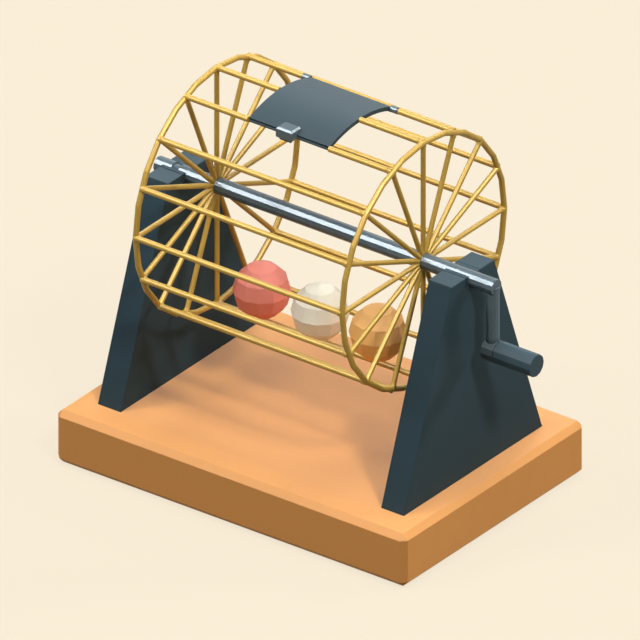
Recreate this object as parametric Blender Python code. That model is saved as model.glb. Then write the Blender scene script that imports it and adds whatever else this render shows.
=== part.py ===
"""Hand cranked bingo cage: a wire drum on a turned shaft between two uprights on a wooden base.

Metres, +Z up. The origin is the middle of the face that the object stands on. X runs along the
shaft towards the crank, and -Y is the front, where the door opens. Angles round the shaft are
counted from the top towards the front.
"""

import math

import bmesh
import bpy
from mathutils import Matrix, Vector

MM = 0.001

# Gap between pieces that touch, and how far a cutter runs past what it cuts
FIT = 0.3 * MM
OVERRUN = 2.0 * MM

# Wire drum
DRUM_RADIUS = 85.6 * MM
DRUM_LENGTH = 163.4 * MM
DRUM_SIDE_GAP = 21.4 * MM
DRUM_CLEARANCE = 53.6 * MM
BAR_COUNT = 16
BAR_WIRE = 4.0 * MM
RING_WIRE = 3.9 * MM
SPOKE_WIRE = 3.4 * MM
RING_SIDES = 24
WIRE_SIDES = 8
HUB_DIAMETER = 15.2 * MM
HUB_WIDTH = 3.2 * MM
DISC_DIAMETER = 19.2 * MM
DISC_WIDTH = 3.0 * MM
HUB_PIN = 1.8 * MM

# Base board and the mat glued under it
BASE_OVERHANG = 17.4 * MM
BASE_FRONT_MARGIN = 22.6 * MM
BASE_HEIGHT = 38.5 * MM
BASE_CHAMFER = 4.0 * MM
MAT_THICKNESS = 1.5 * MM
MAT_PROUD = 0.4 * MM
MAT_MARGIN = 10.0 * MM

# Uprights, housed in the base and screwed from below
UPRIGHT_THICKNESS = 18.0 * MM
UPRIGHT_FOOT_DEPTH = 146.2 * MM
UPRIGHT_TOP_DEPTH = 45.2 * MM
HOUSING_DEPTH = 6.0 * MM
SCREW_SPACING = 84.0 * MM
SCREW_SHANK = 4.0 * MM
SCREW_HEAD = 8.0 * MM
SCREW_HEAD_DEPTH = 2.4 * MM
SCREW_SINK = 8.0 * MM
SCREW_BITE = 22.0 * MM
SCREW_POINT = 3.0 * MM
SCREW_SLOT_WIDTH = 1.0 * MM
SCREW_SLOT_DEPTH = 0.9 * MM

# Shaft and the open topped bearings that it drops into
SHAFT_DIAMETER = 10.9 * MM
SHAFT_SIDES = 12
SHAFT_DROP = 3.8 * MM
SHAFT_TAIL = 6.9 * MM
SHAFT_NOSE = 18.6 * MM
BEARING_WALL = 1.5 * MM
NECK_DEPTH = 1.2 * MM
RIB_WIDTH = 5.0 * MM

# Door, its frame and its hinge on the bar behind the top one
DOOR_WIDTH = 63.4 * MM
DOOR_THICKNESS = 1.3 * MM
DOOR_RISE = 1.2 * MM
DOOR_FRONT_ANGLE = math.radians(22.0)
DOOR_STEPS = 12
FRAME_THICKNESS = 1.2 * MM
FRAME_SIDE = 4.0 * MM
FRAME_RAIL = 4.5 * MM
FRAME_SILL = 7.0 * MM
FRAME_REACH = 1.2 * MM
KNUCKLE_LENGTH = 6.0 * MM
KNUCKLE_DIAMETER = 4.7 * MM
KNUCKLE_SIDES = 12
HINGE_PIN = 1.8 * MM
HINGE_SINK = 0.6 * MM

# Catch: a block on the door's front edge with a magnet over the frame's lug
BLOCK_LENGTH = 12.7 * MM
BLOCK_DEPTH = 10.1 * MM
BLOCK_HEIGHT = 8.6 * MM
BLOCK_FRONT = 5.8 * MM
BLOCK_TOP = 4.4 * MM
BLOCK_CHAMFER = 1.2 * MM
LUG_LENGTH = 9.0 * MM
LUG_REACH = 4.4 * MM
MAGNET_DIAMETER = 3.0 * MM
MAGNET_HEIGHT = 3.2 * MM
RIVET_SPACING = 6.4 * MM
RIVET_SHANK = 1.6 * MM
RIVET_HEAD = 2.6 * MM
RIVET_HEAD_DEPTH = 0.6 * MM
RIVET_BITE = 1.2 * MM
RIVET_INSET = 2.6 * MM

# Crank
ARM_DIAMETER = 8.7 * MM
ARM_SETBACK = 2.8 * MM
CRANK_THROW = 46.2 * MM
GRIP_DIAMETER = 15.4 * MM
GRIP_LENGTH = 29.75 * MM
GRIP_END_WALL = 5.0 * MM
BOSS_SETBACK = 1.7 * MM
BOSS_CHEEK = 0.3 * MM
DOWEL_DIAMETER = 2.4 * MM
DOWEL_BITE = 6.0 * MM
CRANK_PIN = 6.0 * MM
CRANK_PIN_BITE = 4.6 * MM
CLIP_WIDTH = 1.0 * MM
CLIP_WALL = 1.3 * MM
CLIP_SEAT_DEPTH = 0.7 * MM
CLIP_SETBACK = 4.0 * MM
CLIP_OPENING = math.radians(50.0)

# Balls that tumble in the drum
BALL_DIAMETER = 38.0 * MM
BALL_PITCH = 46.0 * MM
BALL_RUN = 0.2 * MM
BALL_SEGMENTS = 12
BALL_RINGS = 6

ROUND_SIDES = 16
ARC_STEPS = 12

# Sizes and places that follow from the ones above
UPRIGHT_SPACING = DRUM_LENGTH + 2 * DRUM_SIDE_GAP
UPRIGHT_HEIGHT = DRUM_RADIUS + DRUM_CLEARANCE + SHAFT_DROP
BASE_LENGTH = UPRIGHT_SPACING + 2 * (UPRIGHT_THICKNESS + BASE_OVERHANG)
BASE_DEPTH = UPRIGHT_FOOT_DEPTH + 2 * BASE_FRONT_MARGIN
AXIS_HEIGHT = BASE_HEIGHT + UPRIGHT_HEIGHT - SHAFT_DROP
UPRIGHT_X = (UPRIGHT_SPACING + UPRIGHT_THICKNESS) / 2
SHAFT_RADIUS = SHAFT_DIAMETER / 2
SHAFT_LEFT = -(UPRIGHT_SPACING / 2 + UPRIGHT_THICKNESS + SHAFT_TAIL)
SHAFT_RIGHT = UPRIGHT_SPACING / 2 + UPRIGHT_THICKNESS + SHAFT_NOSE
BEARING_INNER = SHAFT_RADIUS + FIT
BEARING_OUTER = BEARING_INNER + BEARING_WALL
RING_X = DRUM_LENGTH / 2
BAR_END = RING_X - RING_WIRE / 2 - FIT
BAR_STEP = math.tau / BAR_COUNT
DOOR_OUTER = DRUM_RADIUS + DOOR_RISE
DOOR_INNER = DOOR_OUTER - DOOR_THICKNESS
DOOR_EDGE = DOOR_WIDTH / 2
FRAME_OUTER = DOOR_INNER - FIT
FRAME_INNER = FRAME_OUTER - FRAME_THICKNESS
HINGE_ANGLE = -BAR_STEP
HINGE_RADIUS = DRUM_RADIUS - HINGE_SINK
HINGE_END = DOOR_EDGE + KNUCKLE_LENGTH
ROLL_RADIUS = DOOR_OUTER - HINGE_RADIUS
ARM_X = SHAFT_RIGHT - ARM_SETBACK
BOSS_LEFT = ARM_X - BOSS_SETBACK
BOSS_RIGHT = ARM_X + ARM_DIAMETER / 2 + BOSS_CHEEK
INNERMOST_RADIUS = min(HINGE_RADIUS - ROLL_RADIUS, DRUM_RADIUS - KNUCKLE_DIAMETER / 2, FRAME_INNER)
BALL_ORBIT = INNERMOST_RADIUS - BALL_RUN - BALL_DIAMETER / 2


def clear_scene():
    for obj in list(bpy.data.objects):
        bpy.data.objects.remove(obj, do_unlink=True)


def polar(radius, angle):
    """A point round the shaft as (y, z), with the angle counted from the top towards the front."""
    return -radius * math.sin(angle), radius * math.cos(angle)


def circle(radius, sides):
    return [polar(radius, math.tau * i / sides) for i in range(sides)]


def around(radius, sides):
    """The corner radius of a polygon whose flats clear this radius."""
    return radius / math.cos(math.pi / sides)


def polygon_reach(corner_radius, sides, angle):
    """How far from its centre the edge of a polygon with a corner at the top lies, at this angle."""
    step = math.tau / sides
    off_middle = angle % step - step / 2
    return corner_radius * math.cos(step / 2) / math.cos(off_middle)


def srgb(code):
    """A colour written as a hex triplet, in linear values."""
    channels = [int(code[i : i + 2], 16) / 255 for i in (0, 2, 4)]
    return [c / 12.92 if c <= 0.04045 else ((c + 0.055) / 1.055) ** 2.4 for c in channels]


def make_material(name, code, roughness, metallic=0.0):
    material = bpy.data.materials.new(name)
    material.use_nodes = True
    shader = material.node_tree.nodes["Principled BSDF"]
    shader.inputs["Base Color"].default_value = (*srgb(code), 1.0)
    shader.inputs["Roughness"].default_value = roughness
    shader.inputs["Metallic"].default_value = metallic
    return material


def pivot(name, place, parent=None):
    """An empty on a joint's axis, at a place in the world."""
    empty = bpy.data.objects.new(name, None)
    bpy.context.collection.objects.link(empty)
    empty.parent = parent
    empty.location = Vector(place) - (parent.matrix_world.translation if parent else Vector())
    bpy.context.view_layer.update()
    return empty


def new_object(name, shape, parent):
    """An object from a shape drawn in world coordinates, with its origin at its parent's."""
    bmesh.ops.recalc_face_normals(shape, faces=shape.faces)
    if parent:
        shape.transform(Matrix.Translation(-parent.matrix_world.translation))
    mesh = bpy.data.meshes.new(name)
    shape.to_mesh(mesh)
    shape.free()
    obj = bpy.data.objects.new(name, mesh)
    bpy.context.collection.objects.link(obj)
    obj.parent = parent
    return obj


def piece(name, shape, material, parent=None, round_over=None):
    obj = new_object(name, shape, parent)
    obj.data.materials.append(material)
    if round_over:
        obj.data.shade_smooth()
        obj.data.set_sharp_from_angle(angle=round_over)
    return obj


def combine(obj, shape, name, operation="DIFFERENCE"):
    """Cuts a shape from an object, or joins it on, and keeps the shape as a hidden helper."""
    helper = new_object(f"{obj.name}_{name}", shape, obj.parent)
    helper.hide_render = True
    helper.display_type = "WIRE"
    modifier = obj.modifiers.new(name, "BOOLEAN")
    modifier.operation = operation
    modifier.object = helper
    return helper


def prism_x(shape, outline, low, high):
    """Adds a solid with an outline of (y, z) points that runs along X."""
    ends = [[shape.verts.new((x, y, z)) for y, z in outline] for x in (low, high)]
    shape.faces.new(ends[0])
    shape.faces.new(ends[1])
    for i in range(len(outline)):
        j = (i + 1) % len(outline)
        shape.faces.new((ends[0][i], ends[0][j], ends[1][j], ends[1][i]))
    return shape


def turned(shape, profile, sides, closed=False):
    """Adds a solid turned about X from (x, radius) points, which end on the axis or form a loop."""
    rows = []
    for x, radius in profile:
        if radius == 0:
            rows.append([shape.verts.new((x, 0, 0))] * sides)
        else:
            rows.append([shape.verts.new((x, y, z)) for y, z in circle(radius, sides)])
    pairs = list(zip(rows, rows[1:] + rows[:1])) if closed else list(zip(rows, rows[1:]))
    for first, second in pairs:
        for i in range(sides):
            j = (i + 1) % sides
            corners = list(dict.fromkeys((first[i], first[j], second[j], second[i])))
            if len(corners) > 2:
                shape.faces.new(corners)
    return shape


def rod(low, high, diameter, sides):
    """A round bar along X."""
    radius = diameter / 2
    return turned(bmesh.new(), [(low, 0), (low, radius), (high, radius), (high, 0)], sides)


def tube(low, high, inner, outer, sides):
    """A ring or sleeve about X, from its inner and outer radius."""
    loop = [(low, inner), (low, outer), (high, outer), (high, inner)]
    return turned(bmesh.new(), loop, sides, closed=True)


def upright_turn():
    """Turns what was made along X to stand along Z."""
    return Matrix.Rotation(-math.pi / 2, 4, "Y")


def moved(shape, place, turn=None):
    shape.transform(Matrix.Translation(Vector(place)) @ (turn or Matrix()))
    return shape


def block(length, depth, height, centre, chamfer=0.0):
    shape = bmesh.new()
    bmesh.ops.create_cube(shape, size=1)
    bmesh.ops.scale(shape, vec=(length, depth, height), verts=shape.verts)
    if chamfer:
        bmesh.ops.bevel(shape, geom=shape.edges, offset=chamfer, segments=1, affect="EDGES")
    bmesh.ops.translate(shape, vec=centre, verts=shape.verts)
    return shape


def curved_sheet(columns, angles, inner, outer, filled):
    """A sheet bent round the shaft, made of the cells between columns (X) and angles that are filled."""
    shape = bmesh.new()
    corners = {}

    def corner(column, row, level):
        key = (column, row, level)
        if key not in corners:
            y, z = polar((inner, outer)[level], angles[row])
            corners[key] = shape.verts.new((columns[column], y, z))
        return corners[key]

    cells = {
        (c, r) for c in range(len(columns) - 1) for r in range(len(angles) - 1) if filled(c, r)
    }
    for c, r in sorted(cells):
        loop = [(c, r), (c + 1, r), (c + 1, r + 1), (c, r + 1)]
        for level in (0, 1):
            shape.faces.new([corner(*at, level) for at in loop])
        beyond = [(c, r - 1), (c + 1, r), (c, r + 1), (c - 1, r)]
        for side, neighbour in enumerate(beyond):
            if neighbour not in cells:
                a, b = loop[side], loop[(side + 1) % len(loop)]
                shape.faces.new([corner(*a, 0), corner(*b, 0), corner(*b, 1), corner(*a, 1)])
    return moved(shape, (0, 0, AXIS_HEIGHT))


def make_base(material):
    low = MAT_PROUD
    height = BASE_HEIGHT - low
    centre = (0, 0, low + height / 2)
    base = piece("base_board", block(BASE_LENGTH, BASE_DEPTH, height, centre, BASE_CHAMFER), material)
    recess_depth = MAT_THICKNESS - MAT_PROUD + FIT
    recess = block(
        BASE_LENGTH - MAT_MARGIN,
        BASE_DEPTH - MAT_MARGIN,
        recess_depth + OVERRUN,
        (0, 0, low + (recess_depth - OVERRUN) / 2),
    )
    combine(base, recess, "mat_recess")
    for side in (-1, 1):
        housing = block(
            UPRIGHT_THICKNESS + 2 * FIT,
            UPRIGHT_FOOT_DEPTH + 2 * FIT,
            HOUSING_DEPTH + FIT + OVERRUN,
            (side * UPRIGHT_X, 0, BASE_HEIGHT + (OVERRUN - HOUSING_DEPTH - FIT) / 2),
        )
        combine(base, housing, f"housing_{side_name(side)}")
        for end in (-1, 1):
            combine(base, screw_hole(side, end), f"hole_{side_name(side)}_{end_name(end)}")
    return base


def side_name(side):
    return "left" if side < 0 else "right"


def end_name(end):
    return "front" if end < 0 else "back"


def make_mat(material):
    size = (BASE_LENGTH - MAT_MARGIN - 2 * FIT, BASE_DEPTH - MAT_MARGIN - 2 * FIT, MAT_THICKNESS)
    return piece("base_mat", block(*size, (0, 0, MAT_THICKNESS / 2)), material)


def screw_seat():
    """The height of the underside of a screw's head in its counterbore."""
    return MAT_THICKNESS + FIT + SCREW_SINK


def screw_place(side, end):
    return side * UPRIGHT_X, end * SCREW_SPACING / 2, 0


def screw_hole(side, end):
    """What is taken from the base for a screw: a counterbore from below, then a clear hole."""
    shank = around(SCREW_SHANK / 2 + FIT, ROUND_SIDES)
    head = around(SCREW_HEAD / 2 + FIT, ROUND_SIDES)
    seat = screw_seat() + FIT
    top = BASE_HEIGHT
    profile = [(-OVERRUN, 0), (-OVERRUN, head), (seat, head), (seat, shank), (top, shank), (top, 0)]
    return moved(turned(bmesh.new(), profile, ROUND_SIDES), screw_place(side, end), upright_turn())


def pilot_hole(side, end):
    """The blind hole in an upright's foot that a screw bites into."""
    foot = BASE_HEIGHT - HOUSING_DEPTH
    radius = around(SCREW_SHANK / 2 + FIT, ROUND_SIDES)
    profile = [
        (foot - OVERRUN, 0),
        (foot - OVERRUN, radius),
        (foot + SCREW_BITE + FIT, radius),
        (foot + SCREW_BITE + FIT, 0),
    ]
    return moved(turned(bmesh.new(), profile, ROUND_SIDES), screw_place(side, end), upright_turn())


def make_screw(side, end, material):
    seat = screw_seat()
    tip = BASE_HEIGHT - HOUSING_DEPTH + SCREW_BITE
    shank = SCREW_SHANK / 2
    head = SCREW_HEAD / 2
    profile = [
        (seat - SCREW_HEAD_DEPTH, 0),
        (seat - SCREW_HEAD_DEPTH, head),
        (seat, head),
        (seat, shank),
        (tip - SCREW_POINT, shank),
        (tip, 0),
    ]
    shape = moved(turned(bmesh.new(), profile, ROUND_SIDES), screw_place(side, end), upright_turn())
    name = f"upright_screw_{side_name(side)}_{end_name(end)}"
    screw = piece(name, shape, material, round_over=math.radians(40))
    x, y, _ = screw_place(side, end)
    slot_centre = (x, y, seat - SCREW_HEAD_DEPTH + (SCREW_SLOT_DEPTH - OVERRUN) / 2)
    slot = block(SCREW_HEAD + OVERRUN, SCREW_SLOT_WIDTH, SCREW_SLOT_DEPTH + OVERRUN, slot_centre)
    combine(screw, slot, "slot")
    return screw


def half_circle(radius):
    """Points from the back of the shaft, under it, to its front, at the shaft's height."""
    angles = [-math.pi / 2 - math.pi * i / ARC_STEPS for i in range(ARC_STEPS + 1)]
    return [(y, z + AXIS_HEIGHT) for y, z in (polar(radius, a) for a in angles)]


def make_upright(side, material):
    """A tapered board with a square foot in its housing and a notch that the bearing lines."""
    foot = UPRIGHT_FOOT_DEPTH / 2
    top = UPRIGHT_TOP_DEPTH / 2
    top_height = BASE_HEIGHT + UPRIGHT_HEIGHT
    notch = BEARING_OUTER + FIT
    outline = [(-foot, BASE_HEIGHT - HOUSING_DEPTH), (foot, BASE_HEIGHT - HOUSING_DEPTH)]
    outline += [(foot, BASE_HEIGHT), (top, top_height), (notch, top_height)]
    outline += half_circle(notch)
    outline += [(-notch, top_height), (-top, top_height), (-foot, BASE_HEIGHT)]
    centre = side * UPRIGHT_X
    half = UPRIGHT_THICKNESS / 2
    shape = prism_x(bmesh.new(), outline, centre - half, centre + half)
    upright = piece(f"upright_{side_name(side)}", shape, material)
    for end in (-1, 1):
        combine(upright, pilot_hole(side, end), f"pilot_{end_name(end)}")
    return upright


def bearing_outline(inner, outer):
    top_height = BASE_HEIGHT + UPRIGHT_HEIGHT
    outline = [(outer, top_height)] + half_circle(outer) + [(-outer, top_height)]
    return outline + [(-inner, top_height)] + half_circle(inner)[::-1] + [(inner, top_height)]


def make_bearing(side, material):
    """A U-shaped liner. The left one has a rib that keeps the shaft from sliding endways."""
    centre = side * UPRIGHT_X
    half = UPRIGHT_THICKNESS / 2
    shape = prism_x(bmesh.new(), bearing_outline(BEARING_INNER, BEARING_OUTER), centre - half, centre + half)
    bearing = piece(f"bearing_{side_name(side)}", shape, material, round_over=math.radians(40))
    if side < 0:
        rib_outline = bearing_outline(BEARING_INNER - NECK_DEPTH, BEARING_INNER + BEARING_WALL / 2)
        rib = prism_x(bmesh.new(), rib_outline, centre - RIB_WIDTH / 2, centre + RIB_WIDTH / 2)
        combine(bearing, rib, "rib", "UNION")
    return bearing


def make_shaft(cage, material):
    """A twelve-sided bar with a neck for the left bearing's rib and cross holes for the pins."""
    neck = -UPRIGHT_X
    half_neck = RIB_WIDTH / 2 + FIT
    neck_radius = SHAFT_RADIUS - NECK_DEPTH
    profile = [
        (SHAFT_LEFT, 0),
        (SHAFT_LEFT, SHAFT_RADIUS),
        (neck - half_neck, SHAFT_RADIUS),
        (neck - half_neck, neck_radius),
        (neck + half_neck, neck_radius),
        (neck + half_neck, SHAFT_RADIUS),
        (SHAFT_RIGHT, SHAFT_RADIUS),
        (SHAFT_RIGHT, 0),
    ]
    shape = moved(turned(bmesh.new(), profile, SHAFT_SIDES), (0, 0, AXIS_HEIGHT))
    shaft = piece("drive_shaft", shape, material, cage)
    for side in (-1, 1):
        hole = around(HUB_PIN / 2 + FIT, ROUND_SIDES)
        reach = SHAFT_RADIUS + OVERRUN
        combine(shaft, standing_rod(side * RING_X, -reach, reach, hole), f"pin_hole_{side_name(side)}")
    dowel_hole = around(DOWEL_DIAMETER / 2 + FIT, ROUND_SIDES)
    low = -(SHAFT_RADIUS + OVERRUN)
    combine(shaft, standing_rod(ARM_X, low, dowel_top() + FIT, dowel_hole), "dowel_hole")
    return shaft


def standing_rod(x, low, high, radius):
    """A round bar along Z between two heights counted from the shaft's axis."""
    shape = rod(low, high, 2 * radius, ROUND_SIDES)
    return moved(shape, (x, 0, AXIS_HEIGHT), upright_turn())


def make_hub(side, cage, material):
    centre = side * RING_X
    inner = SHAFT_RADIUS + around(FIT, SHAFT_SIDES)
    shape = tube(centre - HUB_WIDTH / 2, centre + HUB_WIDTH / 2, inner, HUB_DIAMETER / 2, SHAFT_SIDES)
    hub = piece(f"hub_{side_name(side)}", moved(shape, (0, 0, AXIS_HEIGHT)), material, cage)
    hole = around(HUB_PIN / 2 + FIT, ROUND_SIDES)
    reach = HUB_DIAMETER / 2 + OVERRUN
    combine(hub, standing_rod(centre, -reach, reach, hole), "pin_hole")
    return hub


def make_hub_pin(side, cage, material):
    reach = HUB_DIAMETER / 2 - FIT
    shape = standing_rod(side * RING_X, -reach, reach, HUB_PIN / 2)
    return piece(f"hub_pin_{side_name(side)}", shape, material, cage, math.radians(40))


def make_spokes(side, cage, material):
    """A star of wires brazed round a disc, which sits on the hub and reaches to the end ring."""
    centre = side * RING_X
    bore = around(HUB_DIAMETER / 2 + FIT, ROUND_SIDES)
    disc = tube(centre - DISC_WIDTH / 2, centre + DISC_WIDTH / 2, bore, DISC_DIAMETER / 2, 3 * ROUND_SIDES)
    star = piece(f"spoke_star_{side_name(side)}", moved(disc, (0, 0, AXIS_HEIGHT)), material, cage)
    star.data.shade_smooth()
    star.data.set_sharp_from_angle(angle=math.radians(50))
    wires = bmesh.new()
    root = (SPOKE_WIRE / 2) / math.sin(BAR_STEP / 2) + SPOKE_WIRE / WIRE_SIDES / 2
    for i in range(BAR_COUNT):
        angle = i * BAR_STEP
        inside_ring = polygon_reach(DRUM_RADIUS - RING_WIRE / 2, RING_SIDES, angle)
        wire = rod(root, inside_ring - FIT, SPOKE_WIRE, WIRE_SIDES)
        lift = Matrix.Rotation(angle, 4, "X") @ upright_turn()
        moved(wire, (centre, 0, AXIS_HEIGHT), lift)
        copy_into(wires, wire)
    combine(star, wires, "wires", "UNION")
    return star


def copy_into(target, source):
    """Adds one shape's faces to another."""
    new = {v: target.verts.new(v.co) for v in source.verts}
    for face in source.faces:
        target.faces.new([new[v] for v in face.verts])
    source.free()


def make_ring(side, cage, material):
    """An end ring bent from wire into a polygon with a corner at the top."""
    shape = bmesh.new()
    rows = []
    for i in range(RING_SIDES):
        row = []
        for j in range(WIRE_SIDES):
            turn = math.tau * j / WIRE_SIDES
            x = side * RING_X + RING_WIRE / 2 * math.sin(turn)
            y, z = polar(DRUM_RADIUS + RING_WIRE / 2 * math.cos(turn), math.tau * i / RING_SIDES)
            row.append(shape.verts.new((x, y, z + AXIS_HEIGHT)))
        rows.append(row)
    for i in range(RING_SIDES):
        here, ahead = rows[i], rows[(i + 1) % RING_SIDES]
        for j in range(WIRE_SIDES):
            k = (j + 1) % WIRE_SIDES
            shape.faces.new((here[j], here[k], ahead[k], ahead[j]))
    return piece(f"end_ring_{side_name(side)}", shape, material, cage, math.radians(50))


def make_bar(name, low, high, angle, cage, material):
    shape = rod(low, high, BAR_WIRE, WIRE_SIDES)
    y, z = polar(DRUM_RADIUS, angle)
    moved(shape, (0, y, z + AXIS_HEIGHT))
    return piece(name, shape, material, cage, math.radians(50))


def make_bars(cage, material):
    """Sixteen bars. The three at the door are cut into a left and a right stub."""
    stub_from = {0: DOOR_EDGE + FIT, 1: DOOR_EDGE + FIT, BAR_COUNT - 1: HINGE_END + FIT}
    for i in range(BAR_COUNT):
        angle = i * BAR_STEP
        number = f"{i:02d}"
        if i in stub_from:
            start = stub_from[i]
            make_bar(f"bar_{number}_left", -BAR_END, -start, angle, cage, material)
            make_bar(f"bar_{number}_right", start, BAR_END, angle, cage, material)
        else:
            make_bar(f"bar_{number}", -BAR_END, BAR_END, angle, cage, material)


def hinge_place(radius=HINGE_RADIUS):
    """The hinge's axis, or a point in line with it that lies this far from the shaft."""
    y, z = polar(radius, HINGE_ANGLE)
    return 0, y, z + AXIS_HEIGHT


def hinge_bore(reach):
    """What is taken out for the hinge pin, out to this far on both sides of the middle."""
    bore = 2 * around(HINGE_PIN / 2 + FIT, KNUCKLE_SIDES)
    return moved(rod(-reach, reach, bore, KNUCKLE_SIDES), hinge_place())


def spread(low, high, steps):
    return [low + (high - low) * i / steps for i in range(steps + 1)]


def make_frame(cage, material):
    """A curved window under the door, with a lug in front that the catch's magnet holds."""
    back = HINGE_ANGLE + (ROLL_RADIUS + FIT) / FRAME_INNER
    front = DOOR_FRONT_ANGLE + FRAME_REACH / FRAME_OUTER
    rail_end = back + FRAME_RAIL / FRAME_OUTER
    sill_start = front - FRAME_SILL / FRAME_OUTER
    lug_end = front + LUG_REACH / FRAME_OUTER
    angles = [back] + spread(rail_end, sill_start, DOOR_STEPS) + [front, lug_end]
    side = DOOR_EDGE - FRAME_SIDE
    columns = [-DOOR_EDGE, -side, -LUG_LENGTH / 2, LUG_LENGTH / 2, side, DOOR_EDGE]
    last = len(angles) - 2

    def filled(column, row):
        if row == last:
            return column == 2
        return row in (0, last - 1) or column in (0, len(columns) - 2)

    sheet = curved_sheet(columns, angles, FRAME_INNER, FRAME_OUTER, filled)
    return piece("door_frame", sheet, material, cage, math.radians(30))


def make_fixed_knuckle(side, cage, material):
    """A knuckle in line with the cut bar, bored below its middle so that the door's roll lies flush."""
    shape = rod(side * (DOOR_EDGE + FIT), side * HINGE_END, KNUCKLE_DIAMETER, KNUCKLE_SIDES)
    name = f"hinge_knuckle_{side_name(side)}"
    knuckle = piece(name, moved(shape, hinge_place(DRUM_RADIUS)), material, cage)
    combine(knuckle, hinge_bore(HINGE_END + OVERRUN), "bore")
    return knuckle


def make_hinge_pin(cage, material):
    shape = moved(rod(-HINGE_END, HINGE_END, HINGE_PIN, ROUND_SIDES), hinge_place())
    return piece("hinge_pin", shape, material, cage, math.radians(40))


def make_door(door, material):
    """A curved plate whose back edge is rolled round the hinge pin, flush with its outer face."""
    angles = spread(HINGE_ANGLE, DOOR_FRONT_ANGLE, DOOR_STEPS)
    sheet = curved_sheet([-DOOR_EDGE, DOOR_EDGE], angles, DOOR_INNER, DOOR_OUTER, lambda c, r: True)
    plate = piece("door_plate", sheet, material, door, math.radians(30))
    roll = moved(rod(-DOOR_EDGE, DOOR_EDGE, 2 * ROLL_RADIUS, KNUCKLE_SIDES), hinge_place())
    combine(plate, roll, "roll", "UNION")
    combine(plate, hinge_bore(DOOR_EDGE + OVERRUN), "bore")
    for side in (-1, 1):
        combine(plate, rivet_hole(side), f"rivet_hole_{side_name(side)}")
    return plate


def rivet_frame(side):
    """Where a rivet stands: on the plate's outer face, with X turned to point outwards."""
    angle = DOOR_FRONT_ANGLE - RIVET_INSET / DOOR_OUTER
    y, z = polar(DOOR_OUTER, angle)
    turn = Matrix.Rotation(angle, 4, "X") @ upright_turn()
    return (side * RIVET_SPACING / 2, y, z + AXIS_HEIGHT), turn


def rivet_profile(grow):
    """A countersunk rivet along its own X, with zero at the plate's outer face, grown for its hole."""
    inside = -DOOR_THICKNESS - (OVERRUN if grow else 0)
    head = RIVET_HEAD / 2 + grow
    shank = RIVET_SHANK / 2 + grow
    neck = -DOOR_THICKNESS + RIVET_HEAD_DEPTH + grow
    top = FIT + RIVET_BITE + grow
    flush = -DOOR_THICKNESS + FIT / 2
    if not grow:
        inside = flush
    return [(inside, 0), (inside, head), (flush, head), (neck, shank), (top, shank), (top, 0)]


def without_repeats(profile):
    return [p for i, p in enumerate(profile) if i == 0 or p != profile[i - 1]]


def rivet_hole(side):
    place, turn = rivet_frame(side)
    profile = without_repeats(rivet_profile(FIT))
    return moved(turned(bmesh.new(), profile, ROUND_SIDES), place, turn)


def make_rivet(side, door, material):
    place, turn = rivet_frame(side)
    shape = moved(turned(bmesh.new(), without_repeats(rivet_profile(0)), ROUND_SIDES), place, turn)
    return piece(f"catch_rivet_{side_name(side)}", shape, material, door, math.radians(40))


def magnet_frame():
    """Where the magnet stands: over the frame's lug, with X turned to point outwards."""
    front = DOOR_FRONT_ANGLE + FRAME_REACH / FRAME_OUTER
    angle = front + LUG_REACH / FRAME_OUTER / 2
    y, z = polar(DOOR_INNER, angle)
    return (0, y, z + AXIS_HEIGHT), Matrix.Rotation(angle, 4, "X") @ upright_turn()


def make_catch(door, material):
    """A chamfered block that laps over the plate and hangs in front of its edge."""
    edge_y, edge_z = polar(DOOR_OUTER, DOOR_FRONT_ANGLE)
    front = edge_y - BLOCK_FRONT
    top = edge_z + AXIS_HEIGHT + BLOCK_TOP
    centre = (0, front + BLOCK_DEPTH / 2, top - BLOCK_HEIGHT / 2)
    shape = block(BLOCK_LENGTH, BLOCK_DEPTH, BLOCK_HEIGHT, centre, BLOCK_CHAMFER)
    catch = piece("catch_block", shape, material, door)
    reach = BLOCK_LENGTH / 2 + OVERRUN
    drum = moved(rod(-reach, reach, 2 * DOOR_INNER, 6 * ROUND_SIDES), (0, 0, AXIS_HEIGHT))
    combine(catch, drum, "drum_relief")
    back = DOOR_FRONT_ANGLE - BLOCK_DEPTH / DOOR_OUTER - OVERRUN / DOOR_OUTER
    angles = spread(back, DOOR_FRONT_ANGLE + FIT / DOOR_OUTER, DOOR_STEPS)
    seat = curved_sheet([-reach, reach], angles, DOOR_INNER - OVERRUN, DOOR_OUTER + FIT, lambda c, r: True)
    combine(catch, seat, "plate_seat")
    place, turn = magnet_frame()
    pocket = 2 * around(MAGNET_DIAMETER / 2 + FIT, ROUND_SIDES)
    combine(catch, moved(rod(-OVERRUN, MAGNET_HEIGHT + FIT, pocket, ROUND_SIDES), place, turn), "pocket")
    for side in (-1, 1):
        combine(catch, rivet_hole(side), f"rivet_hole_{side_name(side)}")
    return catch


def make_magnet(door, material):
    place, turn = magnet_frame()
    shape = moved(rod(FIT / 2, MAGNET_HEIGHT, MAGNET_DIAMETER, ROUND_SIDES), place, turn)
    return piece("catch_magnet", shape, material, door, math.radians(40))


def dowel_top():
    """How far above the shaft's axis the crank dowel ends."""
    return SHAFT_RADIUS / 3


def dowel_bottom():
    return -SHAFT_RADIUS - DOWEL_BITE


def grip_height():
    return AXIS_HEIGHT - CRANK_THROW


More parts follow.
